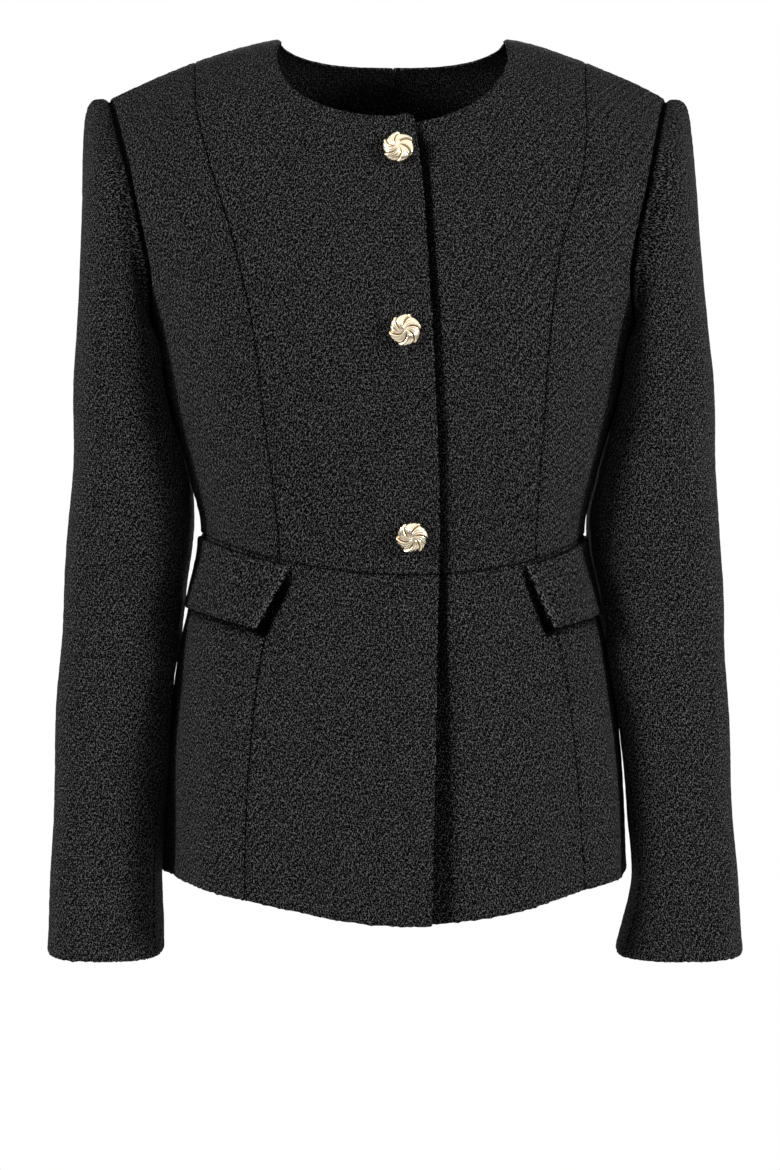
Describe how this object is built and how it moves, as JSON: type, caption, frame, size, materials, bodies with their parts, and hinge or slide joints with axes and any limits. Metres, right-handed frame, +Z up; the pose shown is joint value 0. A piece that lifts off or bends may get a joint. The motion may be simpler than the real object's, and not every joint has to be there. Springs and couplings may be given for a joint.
{
  "type": "collarless blazer",
  "caption": "Collarless blazer in black boucle cloth, worn form with a lapped button front, princess seams, set-in sleeves, slanted pocket flaps and a flared peplum.",
  "frame": {"origin": "between the two shoulder seams, level with their neck ends, where the shoulders hold the jacket", "axes": "+Z up, front of the jacket faces -Y, +X towards the jacket's own left side"},
  "size_m": [0.495, 0.2873, 0.6532],
  "materials": {
    "boucle": "nubby matte black boucle with a soft sheen",
    "gold": "polished pale gold"
  },
  "bodies": {
    "root": {"front_right": "boucle", "front_left": "boucle", "side_front_right": "boucle", "side_front_left": "boucle", "back_right": "boucle", "back_left": "boucle", "peplum_front_right": "boucle", "peplum_front_left": "boucle", "peplum_side_right": "boucle", "peplum_side_left": "boucle", "peplum_back_right": "boucle", "peplum_back_left": "boucle", "flap_right": "boucle", "flap_left": "boucle", "upper_sleeve_right": "boucle", "upper_sleeve_left": "boucle", "under_sleeve_right": "boucle", "under_sleeve_left": "boucle", "button_top": "gold", "button_middle": "gold", "button_waist": "gold"}
  },
  "joints": []
}
